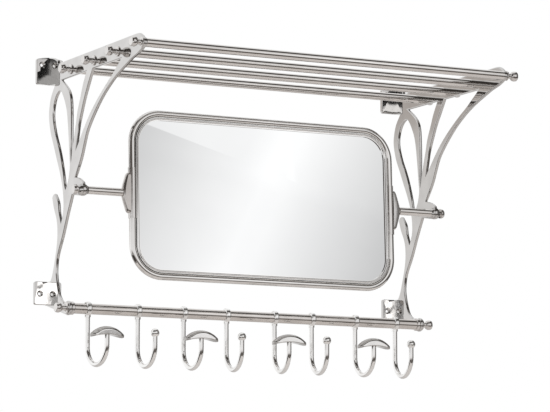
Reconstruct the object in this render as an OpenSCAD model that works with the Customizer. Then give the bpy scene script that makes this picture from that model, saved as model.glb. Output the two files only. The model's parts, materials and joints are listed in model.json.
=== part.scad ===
// Wall rack with a tilting mirror: two cast side brackets carry four shelf tubes and a hook rail.
// Millimetres. +Z is up, the wall is the plane Y = 0 and the front is towards -Y.
// The origin lies on the wall, in the middle of the eight screw holes.

/* [Rack] */
// Distance between the middle planes of the two brackets
bracket_pitch = 700; // [500:10:900]
// Thickness of a bracket's web
web_t = 6; // [5:0.5:8]
// Thickness of the wall plates that are cast on to a bracket
plate_t = 6; // [5:0.5:8]
// Width of a wall plate
plate_w = 51; // [46:1:60]
// Radius of a wall plate's corners
plate_corner = 4; // [2:0.5:6]
// Height of the upper wall plates
upper_plate_h = 49; // [46:1:52]
// Height of the lower wall plates
lower_plate_h = 41; // [38:1:46]
// How far an upper wall plate's top edge bows up in the middle
plate_crown = 3; // [1:0.5:4]

/* [Wall screws] */
// Distance between the upper and the lower screw holes
hole_pitch_z = 406; // [396:1:416]
// Distance between the two screw holes of one plate
hole_pitch_x = 30; // [26:1:34]
// Diameter of a screw hole
hole_d = 5.5; // [4:0.1:6]
// Diameter of a screw hole's countersink at the face
sink_d = 11.5; // [9:0.5:12]
// Distance from the upper screw holes to the plate's top
upper_margin = 14; // [12:0.5:16]
// Distance from the lower screw holes to the plate's foot
lower_margin = 19.5; // [18:0.5:22]

/* [Shelf] */
// Height of the shelf tubes' axes
shelf_z = 181; // [174:1:188]
// Distance from the wall to the rearmost shelf tube
tube_back = 104; // [90:1:120]
// Distance between neighbouring shelf tubes
tube_pitch = 97.5; // [80:0.5:110]
// Diameter of a shelf tube
tube_d = 15; // [12:0.5:18]
// Wall thickness of the shelf tubes and the rail
tube_wall = 1.5; // [1:0.1:2]

/* [Hook rail] */
// Distance from the wall to the rail's axis
rail_out = 95; // [85:1:105]
// Height of the rail's axis
rail_z = -235; // [-242:1:-230]
// Diameter of the rail
rail_d = 18.5; // [16:0.5:22]
// Diameter of the ferrule round each end of the rail
ferrule_d = 23; // [22.5:0.5:26]
// Length of a ferrule
ferrule_l = 6; // [4:0.5:10]
// Radius of a bracket's lug round the rail's end
rail_lug_r = 12.5; // [12:0.1:13]

/* [Finials] */
// Diameter of a finial's ball
ball_d = 17.7; // [15:0.1:19]
// Diameter of the ring that a shelf finial seats with
ring_d = 17.5; // [15:0.1:19]
// Diameter of the ring that a rail finial seats with
rail_ring_d = 21; // [18:0.5:24]
// Diameter of a finial's neck
neck_d = 9; // [8.5:0.5:10]
// Distance that a finial stands out from the bracket
finial_l = 21.5; // [20:0.5:26]
// Diameter of the flat that ends a finial
finial_flat_d = 15; // [8:0.5:15]
// Diameter of a finial's threaded stud
stud_d = 8; // [6:0.5:8]
// Length of a threaded plug inside a tube's end
plug_l = 16; // [10:1:24]

/* [Mirror] */
// Width over the mirror's frame
mirror_w = 525; // [380:5:545]
// Height over the mirror's frame
mirror_h = 299; // [240:1:300]
// Radius of the frame's outer corners
mirror_corner = 60; // [40:1:70]
// Diameter of the frame's tube
frame_d = 12.5; // [10:0.5:14]
// Width of the bezel that shows inside the tube
bezel_w = 6; // [5:0.5:8]
// Diameter of the bead on the bezel's face
bead_d = 3.6; // [2.8:0.2:4]
// Thickness of the glass
glass_t = 4; // [3:0.5:5]
// Thickness of the board behind the glass
back_t = 3; // [2:0.5:4]
// How far the mirror leans back at rest, in degrees
mirror_lean = 2.2; // [-5:0.1:5]

/* [Mirror pivots] */
// Distance from the wall to the pivot axis
pivot_out = 151.5; // [148:0.5:160]
// Height of the pivot axis
pivot_z = -36; // [-42:1:-30]
// Diameter of a pivot rod
rod_d = 14; // [12:0.5:16]
// Diameter of the spigot that turns in a bracket's boss
spigot_d = 8; // [6:0.5:9]
// Diameter of a boss round its middle
boss_d = 21.5; // [20.5:0.5:24]
// Length of a boss
boss_l = 17; // [14:0.5:17]
// Radius of a bracket's lug round the boss
lug_r = 10.5; // [10:0.1:11]
// Diameter of a pivot knob
knob_d = 17.5; // [15:0.5:19]
// Distance that a pivot knob stands out from the boss
knob_l = 9; // [8:0.5:12]
// Length of a sleeve, which joins the two halves of the frame
sleeve_l = 89; // [75:1:110]
// Wall thickness of a sleeve
sleeve_wall = 1.2; // [1:0.1:2]
// Height of a saddle, which carries the rod on the sleeve
saddle_h = 71; // [60:1:74]
// Distance from the frame's outer edge to the rod's shoulder
saddle_out = 13.5; // [11:0.5:18]
// Thickness of a saddle from front to back
saddle_t = 15; // [14:0.5:16]

/* [Hooks] */
// Diameter of the hooks' wire
wire_d = 8.5; // [7:0.5:10]
// Distance between the two legs of a hook
hook_reach = 68; // [56:1:76]
// Height of the middle of a hook's bend
bend_z = -299.75; // [-305:0.25:-295]
// Height of the top of a hook's front leg
leg_top_z = -276; // [-280:1:-272]
// Diameter of a collar, which grips the rail
collar_d = 25; // [24:0.5:26]
// Length of a collar
collar_l = 9; // [7:0.5:10]
// Diameter of the small ball on every second hook
tip_ball_d = 15; // [13:0.5:17]
// Length of a hat cap over its two ends
cap_l = 63; // [50:1:70]
// Drop of a hat cap from its top to the foot of its ends
cap_drop = 19.5; // [16:0.5:21]
// Height of a hat cap's blunt ends
cap_end = 6; // [4:0.5:7]
// Thickness of a hat cap in the middle
cap_t = 14.5; // [11:0.5:15]
// Width of a hat cap from front to back
cap_w = 21; // [16:0.5:24]

/* [Hidden] */

$fn = 96;
nickel = [0.80, 0.78, 0.76];
cast_metal = [0.84, 0.84, 0.85];
glass_grey = [0.86, 0.87, 0.89];
board_grey = [0.25, 0.24, 0.23];

left = -1;
right = 1;
// Clearance of a turning or sliding fit, and of a thread or a soldered seat, on the radius
running_gap = 0.05;
seat_gap = 0.05;
// Gap that keeps a turning shoulder off its boss
shoulder_gap = 0.3;
// Length by which cutting shapes run past the faces that they open
past = 1;

tube_count = 4;
front_out = tube_back + (tube_count - 1) * tube_pitch;
inner_face = bracket_pitch / 2 - web_t / 2;
outer_face = bracket_pitch / 2 + web_t / 2;

// Place and turn of each hook, from left to right: share of the way to a bracket, degrees about the stem
hook_places = [[-0.896, 5.5], [-0.624, 1.5], [-0.37, 1.5], [-0.129, -3],
               [0.145, -5], [0.36, -4.5], [0.615, 0.5], [0.853, -4.5]];
function hook_x(i) = hook_places[i - 1][0] * bracket_pitch / 2;
function hook_turn(i) = hook_places[i - 1][1];

// ---- Curves ----

// Points along an arc about the point c, from angle a to angle b
function arc(c, r, a, b, n = 12) =
    [for (i = [0 : n]) let (t = a + (b - a) * i / n) c + r * [cos(t), sin(t)]];

// Point at the share t of the way from b to c, on a curve that passes a, b, c and d
function between(a, b, c, d, t) =
    0.5 * (2 * b + (c - a) * t + (2 * a - 5 * b + 4 * c - d) * t * t + (3 * b - a - 3 * c + d) * t * t * t);

// Smooth line through the points p, from the first to the last, with n steps from each to the next
function smooth(p, n = 4) = let (last = len(p) - 1) concat(
    [for (i = [0 : last - 1], k = [0 : n - 1])
        between(p[max(i - 1, 0)], p[i], p[i + 1], p[min(i + 2, last)], k / n)],
    [p[last]]);

// ---- Cast bracket ----

// The casting's outline is drawn as [distance from the wall, height] for this rail, pivot and front tube
drawn_rail = [95, -235];
drawn_pivot = [151.5, -36];
drawn_front = [396.5, 181];

// Moves a drawn point with the rail, the pivot and the front tube as they are now
function placed(p) = [
    p[0] * lookup(p[1], [[drawn_rail[1], rail_out / drawn_rail[0]],
                         [drawn_pivot[1], pivot_out / drawn_pivot[0]],
                         [drawn_front[1], front_out / drawn_front[0]]]),
    lookup(p[1], [[2 * drawn_rail[1], 2 * rail_z], [drawn_rail[1], rail_z],
                  [drawn_pivot[1], pivot_z],
                  [drawn_front[1], shelf_z], [2 * drawn_front[1], 2 * shelf_z]])];
function all_placed(points) = [for (p = points) placed(p)];
function flowing(points) = all_placed(smooth(points));

// Heights of the wall plates' ends
upper_plate_top = hole_pitch_z / 2 + upper_margin;
upper_plate_foot = upper_plate_top - upper_plate_h;
lower_plate_foot = -hole_pitch_z / 2 - lower_margin;
lower_plate_top = lower_plate_foot + lower_plate_h;

head_edge = concat([[0, upper_plate_top]], flowing([[14, 215.5], [30, 212], [44, 206]]),
                   all_placed([[46, 200]]));
tip_edge = flowing([[370, 200], [382, 199], [389.5, 195.8], [396, 191.2], [401.5, 185.5], [403.2, 180],
                    [401, 175.5], [396, 172], [388, 168.8], [377, 165.3]]);
front_branch_edge = flowing([[354, 160.5], [292, 141], [245, 119], [209, 95], [176, 66], [162, 44],
                             [147, 17], [124, -11]]);
nose_edge = concat(flowing([[124, -11], [142, -15], [157, -23]]),
                   arc([pivot_out, pivot_z], lug_r, 40, -100));
trunk_front_edge = flowing([[112, -40], [92, -73], [72, -109], [52, -139], [46, -160], [47, -177],
                            [56, -203], [66, -216], [80, -225]]);
rail_edge = arc([rail_out, rail_z], rail_lug_r, 80, -105);
trunk_back_edge = flowing([[21, -182], [27, -175], [34, -161], [47, -124], [50, -99], [46, -77],
                           [34, -56], [26, -36]]);
bud_edge = flowing([[30, -31], [36, -29.5], [41, -33], [52, -47], [56, -65], [65, -85]]);
rear_branch_edge = flowing([[65, -85], [74, -67], [75, -46], [69, -20], [59, 3], [44, 30], [31, 54],
                            [17, 79], [9, 104], [9, 123], [17, 145], [33, 163]]);

// Opening between the rear branch and the second branch
loop_hollow = concat(flowing([[55, 149.5], [48, 148], [39, 142], [31, 131.5], [26, 116], [28, 99], [38, 75],
                              [52, 51], [63, 28], [74, -2], [78, -18], [83, -28]]),
                     flowing([[83, -28], [94, -14], [101, 8], [99, 29], [95, 61], [90, 93], [85, 112],
                              [77.5, 127], [70, 138.5], [62, 147.5], [55, 149.5]]));
// Opening between the second and the third branch
middle_hollow = concat(flowing([[63, 168], [81, 156], [97, 141], [104, 123], [106, 91], [106, 60],
                                [105, 40], [106, 18]]),
                       flowing([[106, 18], [114, 48], [125, 80], [132, 103], [143, 124], [154, 146],
                                [169, 168]]));
// Opening between the third and the front branch
front_hollow = concat(flowing([[194, 168], [178, 146], [162, 124], [149, 101], [138, 79], [133, 62],
                               [125, 35]]),
                      flowing([[125, 35], [140, 50], [163, 73], [185, 92], [211, 110], [240, 127],
                               [276, 146], [312, 168]]));

module web_outline() {
    difference() {
        polygon(concat(head_edge, tip_edge, front_branch_edge, nose_edge, trunk_front_edge, rail_edge,
                       [[0, lower_plate_foot], [0, lower_plate_top]], trunk_back_edge, bud_edge,
                       rear_branch_edge, [[0, upper_plate_foot]]));
        polygon(loop_hollow);
        polygon(middle_hollow);
        polygon(front_hollow);
    }
}

// Lays an outline drawn as [distance from the wall, height] across the X axis, t thick
module across(t) rotate([90, 0, -90]) linear_extrude(t, center = true) children();

// Puts a form that is turned about the Z axis on the X axis, with its foot at the distance x
module along_x(x) translate([x, 0, 0]) rotate([0, 90, 0]) children();

// Puts a form from the X axis on the axis at this distance from the wall and this height
module at_axis(out, z) translate([0, -out, z]) children();

// Shows the right-hand form, or its mirror image on the left
module on_side(side) mirror([side == left ? 1 : 0, 0, 0]) children();

// Straight hole through the web on the axis at this distance and height
module web_bore(out, z, d, l)
    at_axis(out, z) along_x(bracket_pitch / 2) cylinder(h = l, d = d, center = true);

// Wall plate between two heights, with its top bowed up by the crown in the middle
module plate(foot, top, crown) {
    corner_top = top - crown - plate_corner;
    x = plate_w / 2 - plate_corner;
    bow_r = (pow(x, 2) + pow(crown, 2)) / (2 * max(crown, seat_gap));
    translate([bracket_pitch / 2, 0, 0]) rotate([90, 0, 0]) linear_extrude(plate_t) {
        translate([-x, foot]) square([2 * x, top - crown - foot]);
        translate([-plate_w / 2, foot + plate_corner]) square([plate_w, corner_top - foot - plate_corner]);
        for (side = [left, right], z = [foot + plate_corner, corner_top])
            translate([side * x, z]) circle(plate_corner);
        if (crown > 0) intersection() {
            translate([0, top - bow_r]) circle(bow_r, $fn = 360);
            translate([-x, top - crown - plate_corner]) square([2 * x, crown + plate_corner]);
        }
    }
}

// Screw hole with its countersink, from the plate's front to the wall
module screw_hole(x, z) {
    sink = (sink_d - hole_d) / 2;
    translate([x, past, z]) rotate([90, 0, 0]) cylinder(h = plate_t + 2 * past, d = hole_d);
    translate([x, -plate_t + sink, z]) rotate([90, 0, 0]) cylinder(h = sink, d1 = hole_d, d2 = sink_d);
}

// Ball-shaped boss with flat faces, which the mirror's spigot turns in
module boss() {
    rotate_extrude() intersection() {
        circle(boss_d / 2);
        translate([0, -boss_l / 2]) square([boss_d, boss_l]);
    }
}

module bracket(side) {
    color(cast_metal) on_side(side) difference() {
        union() {
            translate([bracket_pitch / 2, 0, 0]) across(web_t) web_outline();
            plate(upper_plate_foot, upper_plate_top, plate_crown);
            plate(lower_plate_foot, lower_plate_top, 0);
            at_axis(pivot_out, pivot_z) along_x(bracket_pitch / 2) boss();
        }
        for (i = [0 : tube_count - 1])
            web_bore(tube_back + i * tube_pitch, shelf_z, stud_d + 2 * running_gap, web_t + 2 * past);
        web_bore(rail_out, rail_z, stud_d + 2 * running_gap, web_t + 2 * past);
        web_bore(pivot_out, pivot_z, spigot_d + 2 * running_gap, boss_l + 2 * past);
        for (x = [-hole_pitch_x / 2, hole_pitch_x / 2], z = [-hole_pitch_z / 2, hole_pitch_z / 2])
            screw_hole(bracket_pitch / 2 + x, z);
    }
}
module left_bracket() bracket(left);
module right_bracket() bracket(right);

// ---- Tubes and their ends ----

// Open tube from one bracket to the other
module cross_tube(out, z, d) {
    color(nickel) at_axis(out, z) along_x(0) difference() {
        cylinder(h = 2 * inner_face, d = d, center = true);
        cylinder(h = 2 * inner_face + 2 * past, d = d - 2 * tube_wall, center = true);
    }
}

// Threaded plug inside a tube's end, which a finial's stud screws into
module end_plug(side, out, z, d) {
    color(nickel) on_side(side) at_axis(out, z) along_x(inner_face - plug_l) difference() {
        cylinder(h = plug_l, d = d - 2 * tube_wall - 2 * seat_gap);
        translate([0, 0, -past]) cylinder(h = plug_l + 2 * past, d = stud_d + 2 * seat_gap);
    }
}

// Turned finial: a stud, a seating ring with a round edge, a hollowed neck and a ball with a broad flat end
module finial(side, out, z, seat_d) {
    ring_t = 2.4;
    reach = sqrt(pow(ball_d / 2, 2) - pow(finial_flat_d / 2, 2));
    ball_at = finial_l - reach;
    hollow_r = (ball_at - sqrt(pow(ball_d / 2, 2) - pow(neck_d / 2, 2)) - ring_t) / 2;
    color(nickel) on_side(side) at_axis(out, z) along_x(outer_face) rotate_extrude() {
        translate([0, -web_t - plug_l]) square([stud_d / 2, web_t + plug_l + past]);
        square([seat_d / 2 - ring_t / 2, ring_t]);
        translate([seat_d / 2 - ring_t / 2, ring_t / 2]) circle(ring_t / 2);
        square([neck_d / 2, ball_at]);
        difference() {
            translate([0, ring_t / 2]) square([neck_d / 2 + hollow_r, ring_t / 2 + hollow_r]);
            translate([neck_d / 2 + hollow_r, ring_t + hollow_r]) circle(hollow_r);
        }
        intersection() {
            translate([0, ball_at]) circle(ball_d / 2);
            translate([0, ring_t]) square([ball_d, finial_l - ring_t]);
        }
    }
}

module shelf_tube(i) cross_tube(tube_back + (i - 1) * tube_pitch, shelf_z, tube_d);
module shelf_tube_1() shelf_tube(1);
module shelf_tube_2() shelf_tube(2);
module shelf_tube_3() shelf_tube(3);
module shelf_tube_4() shelf_tube(4);

module shelf_finial(side, i) finial(side, tube_back + (i - 1) * tube_pitch, shelf_z, ring_d);
module finial_left_1() shelf_finial(left, 1);
module finial_left_2() shelf_finial(left, 2);
module finial_left_3() shelf_finial(left, 3);
module finial_left_4() shelf_finial(left, 4);
module finial_right_1() shelf_finial(right, 1);
module finial_right_2() shelf_finial(right, 2);
module finial_right_3() shelf_finial(right, 3);
module finial_right_4() shelf_finial(right, 4);

module tube_plugs() {
    for (side = [left, right], i = [0 : tube_count - 1])
        end_plug(side, tube_back + i * tube_pitch, shelf_z, tube_d);
}

// ---- Hook rail ----

module hook_rail() cross_tube(rail_out, rail_z, rail_d);
module rail_plugs() for (side = [left, right]) end_plug(side, rail_out, rail_z, rail_d);

// Ferrule with rounded edges round the rail, against the bracket's inner face
module rail_ferrule(side) {
    edge = 1.5;
    bore_r = rail_d / 2 + seat_gap;
    color(nickel) on_side(side) at_axis(rail_out, rail_z) along_x(inner_face - ferrule_l) rotate_extrude() {
        translate([bore_r, 0]) square([ferrule_d / 2 - edge - bore_r, ferrule_l]);
        translate([bore_r, edge]) square([ferrule_d / 2 - bore_r, ferrule_l - 2 * edge]);
        for (z = [edge, ferrule_l - edge]) intersection() {
            translate([ferrule_d / 2 - edge, z]) circle(edge);
            translate([bore_r, 0]) square([ferrule_d, ferrule_l]);
        }
    }
}
module rail_ferrule_left() rail_ferrule(left);
module rail_ferrule_right() rail_ferrule(right);
module rail_finial_left() finial(left, rail_out, rail_z, rail_ring_d);
module rail_finial_right() finial(right, rail_out, rail_z, rail_ring_d);

// ---- Mirror pivots ----

rod_start = mirror_w / 2 + saddle_out;
boss_face = bracket_pitch / 2 + boss_l / 2;
knob_start = boss_face + shoulder_gap;
knob_neck = knob_l / 3;
spigot_end = knob_start + knob_l * 2 / 3;
saddle_spigot = 6;

// Rod from the saddle to the boss, with a spigot in the saddle and one through the boss into the knob
module pivot_rod(side) {
    shoulder = bracket_pitch / 2 - boss_l / 2 - shoulder_gap;
    color(nickel) on_side(side) at_axis(pivot_out, pivot_z) {
        along_x(rod_start) cylinder(h = shoulder - rod_start, d = rod_d);
        along_x(rod_start - saddle_spigot)
            cylinder(h = spigot_end - rod_start + saddle_spigot, d = spigot_d);
    }
}

// Button-shaped knob on a short neck, screwed on to the spigot outside the boss
module pivot_knob(side) {
    neck_r = spigot_d / 2 + 1.3;
    ball_at = knob_l - knob_d * 0.3;
    color(nickel) on_side(side) at_axis(pivot_out, pivot_z) along_x(knob_start) difference() {
        rotate_extrude() {
            square([neck_r, knob_neck + 1]);
            intersection() {
                translate([0, ball_at]) circle(knob_d / 2);
                translate([0, knob_neck]) square([knob_d, knob_l - knob_neck]);
            }
        }
        translate([0, 0, -past])
            cylinder(h = spigot_end - knob_start + past + seat_gap, d = spigot_d + 2 * seat_gap);
    }
}
module pivot_rod_left() pivot_rod(left);
module pivot_rod_right() pivot_rod(right);
module pivot_knob_left() pivot_knob(left);
module pivot_knob_right() pivot_knob(right);

// ---- Mirror ----

// The mirror's own frame: its middle lies on the pivot axis, and it leans with the mirror
module leaning() translate([0, -pivot_out, pivot_z]) rotate([-mirror_lean, 0, 0]) children();

sleeve_d = frame_d + 2 * seat_gap + 2 * sleeve_wall;
frame_line = frame_d / 2;

// Saddle: a pointed block whose curved seat lies on the sleeve and whose tip carries the rod
module saddle(side) {
    blunt = 5;
    edge = 2.5;
    tube_x = mirror_w / 2 - frame_line;
    color(nickel) on_side(side) leaning() difference() {
        intersection() {
            rotate([90, 0, 0]) linear_extrude(saddle_t, center = true)
                polygon([[tube_x, -saddle_h / 2], [mirror_w / 2 + blunt, -saddle_h / 2],
                         [rod_start, -rod_d / 2], [rod_start, rod_d / 2],
                         [mirror_w / 2 + blunt, saddle_h / 2], [tube_x, saddle_h / 2]]);
            linear_extrude(saddle_h, center = true) {
                translate([tube_x, -saddle_t / 2]) square([rod_start - tube_x - edge, saddle_t]);
                translate([tube_x, edge - saddle_t / 2]) square([rod_start - tube_x, saddle_t - 2 * edge]);
                for (y = [-1, 1]) translate([rod_start - edge, y * (saddle_t / 2 - edge)]) circle(edge);
            }
        }
        translate([tube_x, 0, 0])
            cylinder(h = saddle_h + 2 * past, d = sleeve_d + 2 * seat_gap, center = true);
        along_x(rod_start - saddle_spigot - seat_gap) cylinder(h = rod_d, d = spigot_d + 2 * seat_gap);
    }
}
module saddle_left() saddle(left);
module saddle_right() saddle(right);

// Sleeve round the butt joint of the frame's two halves
module sleeve(side) {
    color(nickel) on_side(side) leaning() translate([mirror_w / 2 - frame_line, 0, 0]) difference() {
        cylinder(h = sleeve_l, d = sleeve_d, center = true);
        cylinder(h = sleeve_l + 2 * past, d = frame_d + 2 * seat_gap, center = true);
    }
}
module sleeve_left() sleeve(left);
module sleeve_right() sleeve(right);

// Half of a round bar bent to the frame's shape, above the pivot axis, its middle this far inside the frame
module half_loop(d, inset) {
    x = mirror_w / 2 - inset;
    z = mirror_h / 2 - inset;
    r = mirror_corner - inset;
    translate([0, 0, z]) rotate([0, 90, 0]) cylinder(h = 2 * (x - r), d = d, center = true);
    for (side = [left, right]) on_side(side) {
        translate([x, 0, 0]) cylinder(h = z - r, d = d);
        translate([x - r, 0, z - r]) rotate([90, 0, 0])
            rotate_extrude(angle = 90) translate([r, 0]) circle(d = d);
    }
}
module frame_half(up) {
    color(nickel) leaning() mirror([0, 0, up ? 0 : 1]) half_loop(frame_d, frame_line);
}
module mirror_frame_top() frame_half(true);
module mirror_frame_bottom() frame_half(false);

// Rounded rectangle that lies inside the frame's outer edge by this much
module inside_frame(inset) {
    w = mirror_w - 2 * inset;
    h = mirror_h - 2 * inset;
    r = mirror_corner - inset;
    square([w - 2 * r, h], center = true);
    square([w, h - 2 * r], center = true);
    for (x = [-1, 1], z = [-1, 1]) translate([x * (w / 2 - r), z * (h / 2 - r)]) circle(r);
}

// Flat layer inside the frame, from one depth behind its middle plane to another
module layer(front, back)
    rotate([90, 0, 0]) translate([0, 0, -back]) linear_extrude(back - front) children();

bezel_front = -4.5;
lip_t = 2;
bezel_wall = 2.5;
glass_front = bezel_front + lip_t + seat_gap;
glass_back = glass_front + glass_t;
board_front = glass_back + seat_gap;
board_back = board_front + back_t;
bezel_outer = frame_d + seat_gap;
bead_in = bezel_outer + 0.8 + bead_d / 2;
bead_y = bezel_front + lip_t - 0.2 - bead_d / 2;
glass_in = bezel_outer + bezel_wall + seat_gap;

// Angle-section ring inside the tube with a bead on its face, relieved for the sleeves
module mirror_bezel() {
    color(nickel) leaning() {
        difference() {
            union() {
                layer(bezel_front, board_back) difference() {
                    inside_frame(bezel_outer);
                    inside_frame(bezel_outer + bezel_wall);
                }
                layer(bezel_front, bezel_front + lip_t) difference() {
                    inside_frame(bezel_outer);
                    inside_frame(frame_d + bezel_w);
                }
            }
            for (side = [left, right]) translate([side * (mirror_w / 2 - frame_line), 0, 0])
                cylinder(h = sleeve_l + 2 * seat_gap, d = sleeve_d + 2 * seat_gap, center = true);
        }
        translate([0, bead_y, 0]) {
            half_loop(bead_d, bead_in);
            mirror([0, 0, 1]) half_loop(bead_d, bead_in);
        }
    }
}
module mirror_glass() {
    color(glass_grey) leaning() layer(glass_front, glass_back) inside_frame(glass_in);
}
module mirror_back() {
    color(board_grey) leaning() layer(board_front, board_back) inside_frame(glass_in);
}

// Turn clips that hold the board in the bezel: a strip over the joint, held by a screw in the board
module back_clips() {
    clip = [10, 20];
    clip_t = 1.2;
    edge = frame_d + 1;
    x = mirror_w / 4;
    z = mirror_h / 2 - edge - clip[1] / 2;
    color(nickel) leaning() for (side = [-1, 1], end = [-1, 1]) {
        translate([side * x, board_back, end * z]) rotate([-90, 0, 0]) {
            linear_extrude(clip_t) {
                square([clip[0], clip[1] - clip[0]], center = true);
                for (y = [-1, 1]) translate([0, y * (clip[1] - clip[0]) / 2]) circle(d = clip[0]);
            }
            translate([0, 0, clip_t]) cylinder(h = 1, d1 = 6, d2 = 4);
        }
    }
}

// ---- Hooks ----

// A hook's own frame: its stem stands on the Z axis under the rail, and its front leg is turned with it
module at_hook(i) translate([hook_x(i), -rail_out, 0]) rotate([0, 0, hook_turn(i)]) children();

stem_boss_d = 11;
stem_boss_drop = 2;
stem_top_z = rail_z - collar_d / 2 + 1;

// Collar on the rail, with a short boss below that the wire is screwed into
module hook_collar(i) {
    edge = collar_l * 0.3;
    bore_r = rail_d / 2 + running_gap;
    color(nickel) translate([hook_x(i), -rail_out, rail_z]) difference() {
        union() {
            along_x(0) rotate_extrude() {
                translate([0, -collar_l / 2]) square([collar_d / 2 - edge, collar_l]);
                translate([0, edge - collar_l / 2]) square([collar_d / 2, collar_l - 2 * edge]);
                for (z = [-1, 1]) translate([collar_d / 2 - edge, z * (collar_l / 2 - edge)]) circle(edge);
            }
            translate([0, 0, -collar_d / 2 - stem_boss_drop])
                cylinder(h = stem_boss_drop + 2, d = stem_boss_d);
        }
        along_x(0) cylinder(h = stem_boss_d + 2 * past, r = bore_r, center = true);
        translate([0, 0, -collar_d]) cylinder(h = collar_d / 2 + 1, d = wire_d + 2 * seat_gap);
    }
}

// Wire bent to a hook: stem, half-round bend and front leg
module hook_wire(i) {
    color(nickel) at_hook(i) {
        translate([0, 0, bend_z]) cylinder(h = stem_top_z - bend_z, d = wire_d);
        translate([0, -hook_reach / 2, bend_z]) rotate([0, 90, 0]) rotate([0, 0, -90])
            rotate_extrude(angle = 180) translate([hook_reach / 2, 0]) circle(d = wire_d);
        translate([0, -hook_reach, bend_z]) cylinder(h = leg_top_z - bend_z, d = wire_d);
    }
}

// Small ball on the front leg, bored for the wire
module hook_ball(i) {
    color(nickel) at_hook(i) translate([0, -hook_reach, 0]) difference() {
        translate([0, 0, leg_top_z - 2]) sphere(d = tip_ball_d);
        translate([0, 0, bend_z]) cylinder(h = leg_top_z - bend_z + seat_gap, d = wire_d + 2 * seat_gap);
    }
}

// Radius of the arch that rises by h over the half length l
function arch_r(l, h) = (l * l + h * h) / (2 * h);

// Hat cap: an arched bar, domed from front to back, flatter below, with round blunt ends, bored for the wire
module hook_cap(i) {
    top_r = arch_r(cap_l / 2, cap_drop - cap_end);
    under_r = arch_r(cap_l / 2, cap_drop - cap_t);
    dome_r = cap_w * 0.62;
    round_r = cap_w * 0.45;
    cap_top = leg_top_z + 6;
    color(nickel) at_hook(i) translate([0, -hook_reach, cap_top]) difference() {
        intersection() {
            translate([0, 0, -top_r]) rotate([90, 0, 0]) rotate_extrude()
                translate([top_r - dome_r, 0]) circle(dome_r);
            translate([0, 0, -cap_drop - past]) linear_extrude(cap_drop + 2 * past) {
                square([cap_l, cap_w - 2 * round_r], center = true);
                square([cap_l - 2 * round_r, cap_w], center = true);
                for (x = [-1, 1], y = [-1, 1])
                    translate([x * (cap_l / 2 - round_r), y * (cap_w / 2 - round_r)]) circle(round_r);
            }
        }
        translate([0, 0, -cap_t - under_r]) rotate([90, 0, 0])
            cylinder(h = 2 * cap_w, r = under_r, center = true, $fn = 360);
        translate([0, 0, bend_z - cap_top])
            cylinder(h = leg_top_z - bend_z + seat_gap, d = wire_d + 2 * seat_gap);
    }
}

module hook_1_collar() hook_collar(1);
module hook_1_wire() hook_wire(1);
module hook_1_cap() hook_cap(1);
module hook_2_collar() hook_collar(2);
module hook_2_wire() hook_wire(2);
module hook_2_ball() hook_ball(2);
module hook_3_collar() hook_collar(3);
module hook_3_wire() hook_wire(3);
module hook_3_cap() hook_cap(3);
module hook_4_collar() hook_collar(4);
module hook_4_wire() hook_wire(4);
module hook_4_ball() hook_ball(4);
module hook_5_collar() hook_collar(5);
module hook_5_wire() hook_wire(5);
module hook_5_cap() hook_cap(5);
module hook_6_collar() hook_collar(6);
module hook_6_wire() hook_wire(6);
module hook_6_ball() hook_ball(6);
module hook_7_collar() hook_collar(7);
module hook_7_wire() hook_wire(7);
module hook_7_cap() hook_cap(7);
module hook_8_collar() hook_collar(8);
module hook_8_wire() hook_wire(8);
module hook_8_ball() hook_ball(8);

// ---- Drawn nodes ----

left_bracket();
right_bracket();
shelf_tube_1();
shelf_tube_2();
shelf_tube_3();
shelf_tube_4();
finial_left_1();
finial_left_2();
finial_left_3();
finial_left_4();
finial_right_1();
finial_right_2();
finial_right_3();
finial_right_4();
tube_plugs();
hook_rail();
rail_plugs();
rail_ferrule_left();
rail_ferrule_right();
rail_finial_left();
rail_finial_right();
pivot_rod_left();
pivot_rod_right();
pivot_knob_left();
pivot_knob_right();
saddle_left();
saddle_right();
sleeve_left();
sleeve_right();
mirror_frame_top();
mirror_frame_bottom();
mirror_bezel();
mirror_glass();
mirror_back();
back_clips();
hook_1_collar();
hook_1_wire();
hook_1_cap();
hook_2_collar();
hook_2_wire();
hook_2_ball();
hook_3_collar();
hook_3_wire();
hook_3_cap();
hook_4_collar();
hook_4_wire();
hook_4_ball();
hook_5_collar();
hook_5_wire();
hook_5_cap();
hook_6_collar();
hook_6_wire();
hook_6_ball();
hook_7_collar();
hook_7_wire();
hook_7_cap();
hook_8_collar();
hook_8_wire();
hook_8_ball();
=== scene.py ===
"""Looks of the wall rack with a tilting mirror: finishes, studio and camera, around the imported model.

Lengths are in metres, in the frame that the rack's CAD and physics share: +Z is up, the wall is the plane
Y = 0 and the front is towards -Y.
"""

import json
import math

import bpy
import bmesh
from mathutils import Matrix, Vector


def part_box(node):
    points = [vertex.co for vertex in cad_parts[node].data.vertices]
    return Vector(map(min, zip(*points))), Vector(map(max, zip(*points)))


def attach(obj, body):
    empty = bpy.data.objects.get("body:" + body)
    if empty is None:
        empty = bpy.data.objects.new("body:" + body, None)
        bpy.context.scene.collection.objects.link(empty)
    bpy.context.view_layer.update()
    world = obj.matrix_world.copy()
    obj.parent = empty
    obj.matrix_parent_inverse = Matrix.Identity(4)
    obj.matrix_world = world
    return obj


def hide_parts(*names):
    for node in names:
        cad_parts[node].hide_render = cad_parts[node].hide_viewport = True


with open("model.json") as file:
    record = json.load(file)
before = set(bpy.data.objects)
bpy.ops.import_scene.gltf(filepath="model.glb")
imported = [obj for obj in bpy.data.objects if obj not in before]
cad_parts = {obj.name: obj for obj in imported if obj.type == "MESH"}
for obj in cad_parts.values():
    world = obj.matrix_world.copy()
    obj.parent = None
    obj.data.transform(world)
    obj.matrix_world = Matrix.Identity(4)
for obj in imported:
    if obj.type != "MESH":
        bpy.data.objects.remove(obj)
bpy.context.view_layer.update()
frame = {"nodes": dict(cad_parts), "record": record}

# ---- Camera: the photograph's own view, found from the rack's proportions ----

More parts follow.
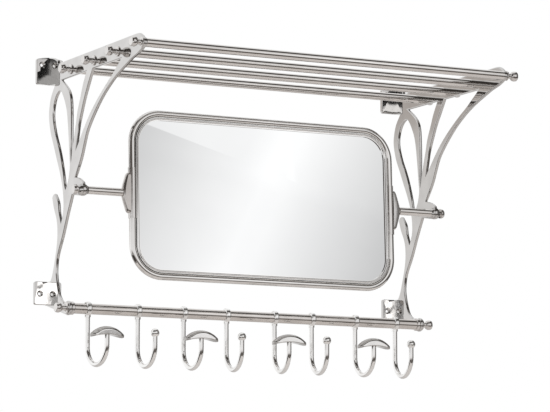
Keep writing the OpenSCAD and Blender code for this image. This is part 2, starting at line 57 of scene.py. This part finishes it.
PHOTO_W = 550
SENSOR_MM = 36.0
CAMERA_AZIMUTH = -27.62
CAMERA_ELEVATION = -7.37
CAMERA_AT = (-2.4482, -4.8737, -0.7312)
CAMERA_FOCAL_PX = 3032.0
CAMERA_REACH = 50.0


def make_camera():
    azimuth = math.radians(CAMERA_AZIMUTH)
    elevation = math.radians(CAMERA_ELEVATION)
    back = Vector((math.sin(azimuth) * math.cos(elevation),
                   -math.cos(azimuth) * math.cos(elevation),
                   math.sin(elevation)))
    data = bpy.data.cameras.new("photo_camera")
    data.sensor_width = SENSOR_MM
    data.lens = CAMERA_FOCAL_PX / PHOTO_W * SENSOR_MM
    data.clip_end = CAMERA_REACH
    camera = bpy.data.objects.new("photo_camera", data)
    camera.location = CAMERA_AT
    camera.rotation_euler = back.to_track_quat("Z", "Y").to_euler()
    bpy.context.collection.objects.link(camera)
    bpy.context.scene.camera = camera


# ---- Small helpers for node trees ----

def wired(tree, kind, inputs, **settings):
    """New shader node. An input that gets another node's output is linked, and any other value is set."""
    node = tree.nodes.new("ShaderNode" + kind)
    for setting, value in settings.items():
        setattr(node, setting, value)
    for key, value in inputs.items():
        if isinstance(value, bpy.types.NodeSocket):
            tree.links.new(value, node.inputs[key])
        else:
            node.inputs[key].default_value = value
    return node


def math_of(tree, operation, *values):
    return wired(tree, "Math", dict(enumerate(values)), operation=operation).outputs[0]


def mixed(tree, first, second, factor, blend_type="MIX"):
    """Colour between two colours, or blended from them."""
    inputs = {"Factor": factor, "A": first, "B": second}
    return wired(tree, "Mix", inputs, data_type="RGBA", blend_type=blend_type).outputs["Result"]


def share_between(tree, value, low, high, interpolation="LINEAR", most=1.0):
    """0 below low, rising to most above high."""
    inputs = {"Value": value, "From Min": low, "From Max": high, "To Max": most}
    return wired(tree, "MapRange", inputs, interpolation_type=interpolation).outputs["Result"]


def own_place(tree):
    """A point's place in the object's own coordinates."""
    return wired(tree, "TexCoord", {}).outputs["Object"]


def share_along(tree, direction, start, end):
    """0 to 1 between two distances along a direction, in the object's own coordinates."""
    dot = wired(tree, "VectorMath", {0: own_place(tree), 1: direction}, operation="DOT_PRODUCT")
    return share_between(tree, dot.outputs["Value"], start, end)


def noise(tree, scale, detail=3.0, stretch=(1.0, 1.0, 1.0)):
    """Noise over the object's own coordinates, drawn out by stretch."""
    mapping = wired(tree, "Mapping", {"Vector": own_place(tree), "Scale": stretch})
    return wired(tree, "TexNoise",
                 {"Vector": mapping.outputs["Vector"], "Scale": scale, "Detail": detail}).outputs["Fac"]


def ramp(tree, factor, stops):
    """Colour ramp through (position, grey or colour) stops."""
    node = wired(tree, "ValToRGB", {"Fac": factor})
    while len(node.color_ramp.elements) < len(stops):
        node.color_ramp.elements.new(0.5)
    for element, (position, value) in zip(node.color_ramp.elements, stops):
        element.position = position
        element.color = (*value, 1.0) if isinstance(value, tuple) else (value, value, value, 1.0)
    return node.outputs["Color"]


def bump(tree, bsdf, height, strength, distance):
    node = wired(tree, "Bump", {"Height": height, "Strength": strength, "Distance": distance})
    tree.links.new(node.outputs["Normal"], bsdf.inputs["Normal"])


def new_material(name):
    material = bpy.data.materials.new(name)
    material.use_nodes = True
    tree = material.node_tree
    return material, tree, tree.nodes["Principled BSDF"]


# ---- Finishes ----

CLOUD_SCALE = 35.0
MARK_SCALE = 420.0
MARK_DETAIL = 4.0
WAVE_DETAIL = 2.0
WAVE_STRENGTH = 0.35
GLASS_CLOUD_SCALE = 6.0
GLASS_HAZE_SCALE = 14.0
GLASS_HAZE_DETAIL = 5.0
FIBRE_SCALE = 260.0
FIBRE_DETAIL = 6.0
FIBRE_STRENGTH = 0.3
FIBRE_DEPTH = 0.0004
UPRIGHT_FIBRES = (1.0, 1.0, 0.25)
EVEN_MARKS = (1.0, 1.0, 1.0)
# Polishing marks that run along a tube
TUBE_MARKS = (0.06, 1.0, 1.0)

# Each metal's darker and lighter tint, least and most roughness, closeness and height of its faint waves,
# and how its polishing marks are drawn out
METALS = {
    "bright_tube": ((0.78, 0.755, 0.735), (0.83, 0.81, 0.79), (0.05, 0.11), (18.0, 0.0004), TUBE_MARKS),
    "rail_metal": ((0.66, 0.63, 0.605), (0.76, 0.73, 0.705), (0.05, 0.11), (18.0, 0.0006), TUBE_MARKS),
    "frame_metal": ((0.80, 0.785, 0.77), (0.85, 0.835, 0.82), (0.02, 0.05), (18.0, 0.00005), TUBE_MARKS),
    "turned_fitting": ((0.70, 0.68, 0.665), (0.77, 0.75, 0.735), (0.04, 0.10), (90.0, 0.0003), EVEN_MARKS),
    "hook_metal": ((0.87, 0.865, 0.855), (0.93, 0.925, 0.915), (0.05, 0.12), (80.0, 0.0003), EVEN_MARKS),
    # Painted shade: this dark copy of the nickel goes on the caps' domed tops
    "cap_top_painted_shade": ((0.36, 0.345, 0.33), (0.52, 0.505, 0.49), (0.04, 0.12), (70.0, 0.0006), EVEN_MARKS),
    "bezel": ((0.88, 0.87, 0.86), (0.92, 0.91, 0.90), (0.02, 0.05), (40.0, 0.00005), EVEN_MARKS),
    "cast_bracket": ((0.62, 0.61, 0.60), (0.68, 0.67, 0.66), (0.02, 0.05), (45.0, 0.00012), EVEN_MARKS),
    "threaded_plug": ((0.50, 0.49, 0.48), (0.60, 0.59, 0.58), (0.25, 0.4), (200.0, 0.0003), EVEN_MARKS),
    # Painted shade: a darker copy of the nickel for the left saddle only, while the right one has the plain
    # hook metal
    "saddle_nickel": ((0.56, 0.53, 0.51), (0.66, 0.63, 0.61), (0.05, 0.12), (60.0, 0.0003), EVEN_MARKS),
}


def polished_metal(name, dark, light, roughness, waves, marks):
    """Bright plated metal: slight clouding of the tint, fine polishing marks and a faint waviness."""
    material, tree, bsdf = new_material(name)
    bsdf.inputs["Metallic"].default_value = 1.0
    tree.links.new(ramp(tree, noise(tree, CLOUD_SCALE), [(0.35, dark), (0.65, light)]),
                   bsdf.inputs["Base Color"])
    polish = noise(tree, MARK_SCALE, MARK_DETAIL, marks)
    tree.links.new(ramp(tree, polish, [(0.3, roughness[0]), (0.75, roughness[1])]), bsdf.inputs["Roughness"])
    bump(tree, bsdf, noise(tree, waves[0], WAVE_DETAIL), WAVE_STRENGTH, waves[1])
    return material


def silvered_glass():
    material, tree, bsdf = new_material("silvered_glass")
    bsdf.inputs["Metallic"].default_value = 1.0
    silver = [(0.4, (0.86, 0.865, 0.87)), (0.6, (0.88, 0.885, 0.888))]
    tree.links.new(ramp(tree, noise(tree, GLASS_CLOUD_SCALE), silver), bsdf.inputs["Base Color"])
    haze = noise(tree, GLASS_HAZE_SCALE, GLASS_HAZE_DETAIL)
    tree.links.new(ramp(tree, haze, [(0.3, 0.004), (0.8, 0.012)]), bsdf.inputs["Roughness"])
    return material


def dark_board():
    """Pressed board with upright fibres."""
    material, tree, bsdf = new_material("dark_board")
    fibres = noise(tree, FIBRE_SCALE, FIBRE_DETAIL, UPRIGHT_FIBRES)
    browns = [(0.3, (0.050, 0.046, 0.042)), (0.7, (0.085, 0.080, 0.074))]
    tree.links.new(ramp(tree, fibres, browns), bsdf.inputs["Base Color"])
    tree.links.new(ramp(tree, fibres, [(0.3, 0.62), (0.7, 0.8)]), bsdf.inputs["Roughness"])
    bump(tree, bsdf, fibres, FIBRE_STRENGTH, FIBRE_DEPTH)
    return material


def finish_of(node):
    """A node has its slot's finish, but for three kinds that look darker or smoother than their slots (the
    caps' darker tint is painted shade).
    """
    if node.endswith("_cap"):
        return "cap_top_painted_shade"
    if node == "hook_rail":
        return "rail_metal"
    if node.startswith("mirror_frame"):
        return "frame_metal"
    return slot_of[node]


finishes = {name: polished_metal(name, *look) for name, look in METALS.items()}
finishes["mirror_glass"] = silvered_glass()
finishes["back_board"] = dark_board()
slot_of = {row["node"]: row["material_slot"] for row in frame["record"]["subparts"]}
for name, node in frame["nodes"].items():
    node.data.materials.clear()
    node.data.materials.append(finishes[finish_of(name)])

# ---- Pieces with worn, rounded edges and crowned faces, in place of plain solids ----

# The solids' own sizes that the roundings go by
WEB_CENTRE = 0.35
WEB_HALF = 0.003
PLATE_T = 0.006
BORED_AXES = ["shelf_tube_1", "shelf_tube_2", "shelf_tube_3", "shelf_tube_4", "hook_rail", "pivot_rod_left"]
# Edges nearer than this to an axis belong to its bore and stay sharp
BORE_CLEAR = 0.008
WIRE_CLEAR = 0.006

# Radius and steps of each rounding
WEB_ROUND = (0.0021, 3)
PLATE_ROUND = (0.0012, 2)
FINIAL_ROUND = (0.0011, 3)
CAP_ROUND = (0.0014, 3)

# Two places nearer than this are the same
SAME = 2e-5
WELD = 1e-5
# Angles between neighbouring faces: one flat face below the first, a smooth curve below the second, and an
# edge to round above the others
FLAT = math.radians(0.5)
SMOOTH = math.radians(40)
CASTING_EDGE = math.radians(60)
FINIAL_EDGE = math.radians(25)
CAP_EDGE = math.radians(32)
# A face turned this far to the front or back is one of a cap's upright sides
UPRIGHT = 0.93


def centre_of(node):
    low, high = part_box(node)
    return (Vector(low) + Vector(high)) / 2


def outward(node):
    """1 for a node on the rack's right and -1 for one on its left."""
    return 1.0 if centre_of(node).x > 0 else -1.0


def copy_for_carving(node):
    """Copy of a node's mesh as joined flat faces, which can be bevelled."""
    mesh = bmesh.new()
    mesh.from_mesh(frame["nodes"][node].data)
    bmesh.ops.remove_doubles(mesh, verts=mesh.verts, dist=WELD)
    bmesh.ops.dissolve_limit(mesh, angle_limit=FLAT, verts=mesh.verts, edges=mesh.edges, delimit=set())
    return mesh


def finished_piece(mesh, name, node, body, finish):
    """Puts a carved mesh in a node's place, smooth over its bevels and flat on its faces."""
    data = bpy.data.meshes.new(name)
    for face in mesh.faces:
        face.smooth = True
    for edge in mesh.edges:
        edge.smooth = edge.is_manifold and edge.calc_face_angle(0.0) < SMOOTH
    mesh.to_mesh(data)
    mesh.free()
    data.materials.append(finishes[finish])
    piece = bpy.data.objects.new(name, data)
    bpy.context.collection.objects.link(piece)
    normals = piece.modifiers.new("even_shading", "WEIGHTED_NORMAL")
    normals.keep_sharp = True
    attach(piece, body)
    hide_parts(node)
    return piece


def is_bend(edge, angle):
    return edge.is_manifold and edge.calc_face_angle(0.0) > angle


def round_edges(mesh, edges, radius, steps):
    bmesh.ops.bevel(mesh, geom=edges, offset=radius, offset_type="OFFSET", profile_type="SUPERELLIPSE",
                    segments=steps, profile=0.5, affect="EDGES", clamp_overlap=False, material=-1,
                    loop_slide=True)


def rounded_bracket(side):
    """Bracket with the edges of its web and wall plates rounded, and its bores and screw holes left sharp."""
    node = side + "_bracket"
    mesh = copy_for_carving(node)
    bores = [centre_of(axis) for axis in BORED_AXES]
    web_centre = outward(node) * WEB_CENTRE

    def on_web(edge):
        if not (is_bend(edge, CASTING_EDGE) and edge.is_convex):
            return False
        if any(abs(abs(vert.co.x - web_centre) - WEB_HALF) > SAME for vert in edge.verts):
            return False
        at = (edge.verts[0].co + edge.verts[1].co) / 2
        return all(math.hypot(at.y - bore.y, at.z - bore.z) > BORE_CLEAR for bore in bores)

    def on_plate(edge):
        return (is_bend(edge, CASTING_EDGE) and edge.is_convex
                and all(abs(vert.co.y + PLATE_T) < SAME for vert in edge.verts))

    round_edges(mesh, [edge for edge in mesh.edges if on_web(edge)], *WEB_ROUND)
    round_edges(mesh, [edge for edge in mesh.edges if on_plate(edge)], *PLATE_ROUND)
    finished_piece(mesh, side + "_casting", node, "rack", "cast_bracket")


def eased_finial(node):
    """Finial with a rounded rim round its flat end."""
    mesh = copy_for_carving(node)
    out = outward(node)
    end = max(out * vert.co.x for vert in mesh.verts)
    rim = [edge for edge in mesh.edges
           if is_bend(edge, FINIAL_EDGE) and all(abs(out * vert.co.x - end) < SAME for vert in edge.verts)]
    round_edges(mesh, rim, *FINIAL_ROUND)
    finished_piece(mesh, "turned_" + node, node, "rack", slot_of[node])


def dressed_cap(hook):
    """Hat cap with its rims rounded over. Its domed top gets a darker copy of the nickel as painted shade,
    and its upright sides keep the bright hook metal.
    """
    node = hook + "_cap"
    mesh = copy_for_carving(node)
    middle = centre_of(node)
    rims = [edge for edge in mesh.edges
            if is_bend(edge, CAP_EDGE) and edge.is_convex
            and all(math.hypot(vert.co.x - middle.x, vert.co.y - middle.y) > WIRE_CLEAR
                    for vert in edge.verts)]
    round_edges(mesh, rims, *CAP_ROUND)
    mesh.normal_update()
    for face in mesh.faces:
        # Upward faces take the dark painted-shade finish, and upright faces the plain hook metal
        face.material_index = 1 if abs(face.normal.y) > UPRIGHT else 0
    piece = finished_piece(mesh, hook + "_hat_cap", node, hook, "cap_top_painted_shade")
    piece.data.materials.append(finishes["hook_metal"])


# Saddle: places along X from the rack's middle, then its height, thickness and radii
SADDLE_START = 0.2615
SADDLE_OUT = 0.276
SADDLE_BLUNT = 0.2672
SADDLE_H = 0.071
SADDLE_T = 0.015
SADDLE_ROD_R = 0.0062
SADDLE_END_R = 0.006
SADDLE_STEPS = 14
SADDLE_RINGS = 30
# The sleeve that a saddle sits on: its radius with clearance, and the distance of its axis from the middle
SEAT_R = 0.0076
FRAME_AXIS = 0.25625
MIRROR_LEAN = math.radians(2.2)
# How the crown falls from the rod to both ends, narrows, and keeps some depth and thickness at its tips
FALL = 1.15
NARROWING = 0.16
TIP_DEPTH = 0.45
TIP_THICKNESS = 0.6
# Powers below 1 make the crown's section squarer than an ellipse
CROWN_POWER = 0.5
CORNER_POWER = 0.75


def saddle_ring(height):
    """One level section of a saddle: a crowned outer side and a hollow seat on the sleeve."""
    half = SADDLE_H / 2
    share = max(0.0, (abs(height) - SADDLE_ROD_R) / (half - SADDLE_ROD_R))
    reach = SADDLE_OUT + (SADDLE_BLUNT - SADDLE_OUT) * share ** FALL
    past = max(0.0, (abs(height) - (half - SADDLE_END_R)) / SADDLE_END_R)
    ease = math.sqrt(max(0.0, 1.0 - past * past))
    depth = (reach - SADDLE_START) * (TIP_DEPTH + (1.0 - TIP_DEPTH) * ease)
    thick = SADDLE_T / 2 * (1.0 - NARROWING * share) * (TIP_THICKNESS + (1.0 - TIP_THICKNESS) * ease)
    points = []
    for step in range(SADDLE_STEPS + 1):
        turn = math.radians(-90 + 180 * step / SADDLE_STEPS)
        across, along = math.cos(turn), math.sin(turn)
        points.append((SADDLE_START + depth * across ** CROWN_POWER,
                       thick * math.copysign(abs(along) ** CORNER_POWER, along)))
    for step in range(1, SADDLE_STEPS):
        y = thick * (1.0 - 2.0 * step / SADDLE_STEPS)
        seat = math.sqrt(max(0.0, SEAT_R ** 2 - y * y)) + FRAME_AXIS
        points.append((max(SADDLE_START, seat), y))
    return points


def lofted_saddle(side, finish):
    """Saddle with a crowned front, tapered to both ends, in place of the plain block."""
    node = "saddle_" + side
    middle = centre_of(node)
    out = outward(node)
    mesh = bmesh.new()
    rings = []
    for level in range(SADDLE_RINGS + 1):
        height = -math.cos(math.pi * level / SADDLE_RINGS) * SADDLE_H / 2
        rings.append([mesh.verts.new((out * x,
                                      middle.y + y * math.cos(MIRROR_LEAN) + height * math.sin(MIRROR_LEAN),
                                      middle.z - y * math.sin(MIRROR_LEAN) + height * math.cos(MIRROR_LEAN)))
                      for x, y in saddle_ring(height)])
    count = len(rings[0])
    for below, above in zip(rings, rings[1:]):
        for k in range(count):
            after = (k + 1) % count
            mesh.faces.new((below[k], below[after], above[after], above[k]))
    mesh.faces.new(rings[0])
    mesh.faces.new(rings[-1])
    bmesh.ops.recalc_face_normals(mesh, faces=mesh.faces)
    finished_piece(mesh, "saddle_casting_" + side, node, "mirror", finish)


# The left saddle gets the darker nickel as painted shade, and the right one the plain hook metal
for side, saddle_finish in (("left", "saddle_nickel"), ("right", "hook_metal")):
    rounded_bracket(side)
    lofted_saddle(side, saddle_finish)
    eased_finial("rail_finial_" + side)
    for number in range(1, 5):
        eased_finial("finial_%s_%d" % (side, number))
for hook in ("hook_1", "hook_3", "hook_5", "hook_7"):
    dressed_cap(hook)

# ---- Studio ----

WORLD_STRENGTH = 1.0
# What metal and glass see: a sky in front of the rack and one behind it, by elevation in degrees
FRONT_SKY = [(-90, (0.56, 0.53, 0.51)), (-56, (0.40, 0.37, 0.35)), (-40, (0.13, 0.115, 0.105)),
             (-15, (0.13, 0.115, 0.105)), (-4, (0.78, 0.76, 0.75)), (8, (0.87, 0.86, 0.86)),
             (22, (0.75, 0.74, 0.73)), (35, (0.63, 0.62, 0.61)), (41, (0.055, 0.05, 0.045)),
             (62, (0.045, 0.04, 0.036)), (70, (0.58, 0.57, 0.56)), (86, (0.88, 0.88, 0.88))]
BACK_SKY = [(-90, (0.56, 0.53, 0.51)), (-40, (0.42, 0.40, 0.38)), (-22, (0.38, 0.36, 0.35)),
            (-6, (1.0, 1.0, 1.0)), (20, (1.0, 1.0, 1.0)), (60, (0.9, 0.9, 0.9)), (84, (1.0, 1.0, 1.0))]
# A direction's Y over which the front sky turns into the back one
SKY_TURN = 0.25
# Dark room on the right: a direction's X where it starts and where it is darkest, and how dark it gets
DARK_START = 0.50
DARK_FULL = 0.64
DARK_SHARE = 0.88
DARK_COLOUR = (0.07, 0.062, 0.055, 1.0)


def sky(tree, share, bands):
    return ramp(tree, share, [(degrees / 180.0 + 0.5, colour) for degrees, colour in bands])


def make_world():
    """White studio, in which metal and glass see banded skies and a dark room on the right."""
    world = bpy.data.worlds.new("studio")
    bpy.context.scene.world = world
    world.use_nodes = True
    tree = world.node_tree
    tree.nodes.clear()
    place = wired(tree, "TexCoord", {})
    split = wired(tree, "SeparateXYZ", {"Vector": place.outputs["Generated"]})
    elevation = math_of(tree, "ARCSINE", split.outputs["Z"])
    share = math_of(tree, "MULTIPLY_ADD", elevation, 1.0 / math.pi, 0.5)
    behind = share_between(tree, split.outputs["Y"], -SKY_TURN, SKY_TURN, "SMOOTHSTEP")
    studio = mixed(tree, sky(tree, share, FRONT_SKY), sky(tree, share, BACK_SKY), behind)
    dark = share_between(tree, split.outputs["X"], DARK_START, DARK_FULL, "SMOOTHSTEP", DARK_SHARE)
    plain = wired(tree, "Background", {"Color": (1.0, 1.0, 1.0, 1.0), "Strength": WORLD_STRENGTH})
    mirrored = wired(tree, "Background", {"Color": mixed(tree, studio, DARK_COLOUR, dark)})
    path = wired(tree, "LightPath", {})
    pick = wired(tree, "MixShader", {"Fac": path.outputs["Is Glossy Ray"], 1: plain.outputs["Background"],
                                     2: mirrored.outputs["Background"]})
    wired(tree, "OutputWorld", {"Surface": pick.outputs["Shader"]})


def stage_sheet(name, corners, material):
    """Flat stage piece through the corners, listed counter-clockwise as seen from its lit side."""
    mesh = bpy.data.meshes.new(name)
    mesh.from_pydata([Vector(corner) for corner in corners], [], [tuple(range(len(corners)))])
    mesh.materials.append(material)
    sheet = bpy.data.objects.new(name, mesh)
    bpy.context.collection.objects.link(sheet)
    return sheet


def level_sheet(name, x_range, y_range, z, material):
    (left, right), (front, back) = x_range, y_range
    corners = [(left, front, z), (right, front, z), (right, back, z), (left, back, z)]
    return stage_sheet(name, corners, material)


FLOOR_Z = -1.3
# The shown floor lies this much under the one that metal mirrors
FLOOR_STEP = 0.002
SHOWN_REACH = (-9, 9)
MIRRORED_X = (-4, 4)
MIRRORED_Y = (-1.7, 2.6)
# The mirrored floor darkens a little over this stretch of Y, as painted shade towards the back
SHADED_Y = (-1.5, 2.5)


def make_floors():
    """Two floors well below the rack: a warm one that only metal mirrors, and the pale one that shows."""
    warm, tree, bsdf = new_material("pale_floor")
    split = wired(tree, "SeparateXYZ", {"Vector": own_place(tree)})
    # Painted shade: the floor's colour turns darker towards the back
    share = share_between(tree, split.outputs["Y"], *SHADED_Y)
    tree.links.new(ramp(tree, share, [(0.3, (0.66, 0.625, 0.60)), (0.8, (0.54, 0.515, 0.50))]),
                   bsdf.inputs["Base Color"])
    bsdf.inputs["Roughness"].default_value = 0.8
    mirrored = level_sheet("mirrored_floor", MIRRORED_X, MIRRORED_Y, FLOOR_Z, warm)
    mirrored.visible_camera = False
    mirrored.visible_diffuse = False
    mirrored.visible_shadow = False

    pale, tree, bsdf = new_material("shown_floor")
    tree.links.new(ramp(tree, noise(tree, 3.0), [(0.3, (0.86, 0.855, 0.85)), (0.7, (0.88, 0.875, 0.87))]),
                   bsdf.inputs["Base Color"])
    bsdf.inputs["Roughness"].default_value = 0.9
    shown = level_sheet("floor", SHOWN_REACH, SHOWN_REACH, FLOOR_Z - FLOOR_STEP, pale)
    shown.visible_glossy = False


# ---- Cards that are seen only as reflections ----

UP = (0.0, 0.0, 1.0)
DOWN = (0.0, 0.0, -1.0)
RIGHT = (1.0, 0.0, 0.0)
LEFT = (-1.0, 0.0, 0.0)
FLAG_STRENGTH = 2.5
SCREEN_STRENGTH = 1.17
FLAG_FOOT = -0.25
FLAG_TOP = 1.2
FLAG_DARK = (0.045, 0.04, 0.037)
FLAG_DARKEST = (0.014, 0.013, 0.012)
FLAG_FOOT_GREY = 0.34
# Where the two flags meet on the floor plan, and their other ends
FLAG_CORNER = (-0.40, -1.14)
SIDE_FLAG_END = (-1.65, -0.29)
FRONT_FLAG_END = (0.18, -1.35)
# The height where each flag's light foot starts to darken, and the share of the rest that this takes
SIDE_FLAG_FOOT = (0.08, 0.1)
FRONT_FLAG_FOOT = (-0.045, 0.035)
LOW_FLAG_FRONT = (-1.5, -1.3)
LOW_FLAG_BACK = (-1.5, 0.7)
LOW_FLAG_Z = (-1.25, -0.5)
# Ends on the floor plan and Z range of the wall and the screen, and the box in them that shows, whose edges
# are soft
WALL_ENDS = ((0.30, 0.5), (-0.32, 0.5))
WALL_Z = (-0.45, 0.48)
WALL_SHOWN = ((-0.23, 0.21), (-0.36, 0.40), 0.05)
WALL_SHADES = (-0.2, 0.4)
SCREEN_ENDS = ((0.30, -1.6), (1.25, -1.6))
SCREEN_Z = (-0.10, 0.70)
SCREEN_SHOWN = ((0.36, 1.19), (-0.04, 0.62), 0.06)
# On the screen, the direction across the bright band, the upper field and two folds, and the stretch of each
BAND = ((1.0, 0.0, -0.51), 0.216, 0.984)
UPPER_FIELD = (RIGHT, 0.46, 1.07)
LEFT_FOLD = ((0.296, 0.0, 1.0), 0.580, 0.594)
RIGHT_FOLD = ((0.198, 0.0, 1.0), 0.470, 0.506)
# Glossy depth between a first reflection and a second one
TWICE = 1.5

# Lamp and small flags that the wall plates show: X and Z range, softness of the edges, and grey.
# The left plates show the side flag's patches and the right plates the front flag's.
SIDE_FLAG_PATCHES = [
    ((-0.80, -0.70), (0.30, 0.42), 0.010, 0.30),
    ((-0.80, -0.70), (0.380, 0.42), 0.004, 0.060),
    ((-0.7445, -0.70), (0.346, 0.395), 0.0035, 0.008),
    ((-0.80, -0.69), (-0.15, -0.05), 0.010, 1.30),
    ((-0.80, -0.745), (-0.15, -0.103), 0.004, 0.26),
    ((-0.736, -0.722), (-0.090, -0.076), 0.004, 0.12)]
FRONT_FLAG_PATCHES = [
    ((-0.37, -0.27), (0.36, 0.45), 0.010, 0.70),
    ((-0.37, -0.27), (0.397, 0.45), 0.003, 0.010),
    ((-0.37, -0.27), (-0.13, -0.042), 0.006, 0.25),
    ((-0.3150, -0.3026), (-0.13, -0.042), 0.0015, 1.40),
    ((-0.327, -0.3165), (-0.13, -0.042), 0.0015, 0.80),
    ((-0.338, -0.3275), (-0.11, -0.042), 0.0015, 0.08),
    ((-0.322, -0.3010), (-0.081, -0.068), 0.0025, 0.17)]


def card_material(name, colour_of, strength=1.0, shown_of=None):
    """Self-lit card; colour_of makes its colour in the node tree, and shown_of how solid it is."""
    material, tree, bsdf = new_material(name)
    tree.nodes.remove(bsdf)
    light = wired(tree, "Emission", {"Strength": strength, "Color": colour_of(tree)})
    surface = light.outputs["Emission"]
    if shown_of is not None:
        clear = wired(tree, "BsdfTransparent", {})
        surface = wired(tree, "MixShader", {"Fac": shown_of(tree), 1: clear.outputs["BSDF"],
                                            2: surface}).outputs["Shader"]
    tree.links.new(surface, tree.nodes["Material Output"].inputs["Surface"])
    return material


def seen_twice_reflected(tree):
    """1 for a reflection of a reflection, as in the corner of a wall plate and its web, and 0 for a first."""
    path = wired(tree, "LightPath", {})
    return math_of(tree, "GREATER_THAN", path.outputs["Glossy Depth"], TWICE)


def soft_box(tree, x_range, z_range, soft):
    """1 inside a box of the card's X and Z and 0 outside, with soft edges."""
    mask = None
    for direction, near in ((RIGHT, x_range[0]), (LEFT, -x_range[1]),
                            (UP, z_range[0]), (DOWN, -z_range[1])):
        edge = share_along(tree, direction, near - soft, near + soft)
        mask = edge if mask is None else math_of(tree, "MULTIPLY", mask, edge)
    return mask


def with_patches(tree, base, patches):
    """Lays soft boxes of plain grey over a card's colour, for what is reflected twice."""
    twice = seen_twice_reflected(tree)
    for x_range, z_range, soft, grey in patches:
        mask = math_of(tree, "MULTIPLY", soft_box(tree, x_range, z_range, soft), twice)
        base = mixed(tree, base, (grey, grey, grey, 1.0), mask)
    return base


def flag_cloth(tree, foot, foot_share):
    """Dark cloth over a light foot."""
    return ramp(tree, share_along(tree, UP, foot, FLAG_TOP),
                [(0.0, FLAG_FOOT_GREY), (foot_share, FLAG_DARK), (1.0, FLAG_DARKEST)])


def side_flag(tree):
    return with_patches(tree, flag_cloth(tree, *SIDE_FLAG_FOOT), SIDE_FLAG_PATCHES)


def front_flag(tree):
    return with_patches(tree, flag_cloth(tree, *FRONT_FLAG_FOOT), FRONT_FLAG_PATCHES)


def low_flag(tree):
    """Dark cloth low on the left, with a light foot and a light top edge."""
    return ramp(tree, share_along(tree, UP, *LOW_FLAG_Z),
                [(0.0, (0.30, 0.28, 0.27)), (0.3, (0.05, 0.045, 0.04)), (0.85, (0.05, 0.045, 0.04)),
                 (1.0, 0.5)])


def far_wall(tree):
    """Greyer wall behind the rack, which the far bracket shows, browner towards the top."""
    return ramp(tree, share_along(tree, UP, *WALL_SHADES),
                [(0.0, (0.92, 0.91, 0.905)), (0.45, (0.86, 0.85, 0.84)), (0.64, (0.80, 0.785, 0.77)),
                 (0.76, (0.58, 0.54, 0.51)), (1.0, (0.52, 0.475, 0.44))])


def far_wall_edge(tree):
    return soft_box(tree, *WALL_SHOWN)


def pale_screen(tree):
    """Screen that the glass shows: a slanting bright band, greyer to both sides, and two faint folds."""
    band = ramp(tree, share_along(tree, *BAND),
                [(0.0, 0.62), (0.25, 0.81), (0.48, 0.98), (0.56, 0.96), (0.78, 0.77), (1.0, 0.59)])
    upper = ramp(tree, share_along(tree, *UPPER_FIELD), [(0.0, 0.835), (0.5, 0.92), (0.62, 0.98), (0.8, 0.6)])
    left_fold = ramp(tree, share_along(tree, *LEFT_FOLD), [(0.0, 0.0), (1.0, 1.0)])
    right_fold = ramp(tree, share_along(tree, *RIGHT_FOLD), [(0.0, 0.975), (1.0, 1.0)])
    lower = mixed(tree, band, right_fold, 1.0, "MULTIPLY")
    return mixed(tree, lower, mixed(tree, upper, left_fold, 1.0, "MULTIPLY"), 1.0, "LIGHTEN")


def screen_edge(tree):
    return soft_box(tree, *SCREEN_SHOWN)


def reflection_card(name, corners, material):
    """Studio card that is seen only as a reflection, like the flags and screens beside a camera."""
    card = stage_sheet(name, corners, material)
    card.visible_camera = False
    card.visible_diffuse = False
    card.visible_transmission = False
    card.visible_shadow = False


def upright(start, end, foot, top):
    """Corners of an upright card between two places on the floor plan."""
    return [(*start, foot), (*end, foot), (*end, top), (*start, top)]


def make_cards():
    reflection_card("side_flag", upright(FLAG_CORNER, SIDE_FLAG_END, FLAG_FOOT, FLAG_TOP),
                    card_material("side_flag", side_flag, FLAG_STRENGTH))
    reflection_card("front_flag", upright(FRONT_FLAG_END, FLAG_CORNER, FLAG_FOOT, FLAG_TOP),
                    card_material("front_flag", front_flag, FLAG_STRENGTH, seen_twice_reflected))
    reflection_card("far_wall", upright(*WALL_ENDS, *WALL_Z),
                    card_material("far_wall", far_wall, 1.0, far_wall_edge))
    reflection_card("low_flag", upright(LOW_FLAG_FRONT, LOW_FLAG_BACK, *LOW_FLAG_Z),
                    card_material("low_flag", low_flag))
    reflection_card("pale_card", upright(*SCREEN_ENDS, *SCREEN_Z),
                    card_material("pale_screen", pale_screen, SCREEN_STRENGTH, screen_edge))


make_camera()
make_world()
make_floors()
make_cards()
bpy.context.scene.view_settings.view_transform = "Standard"
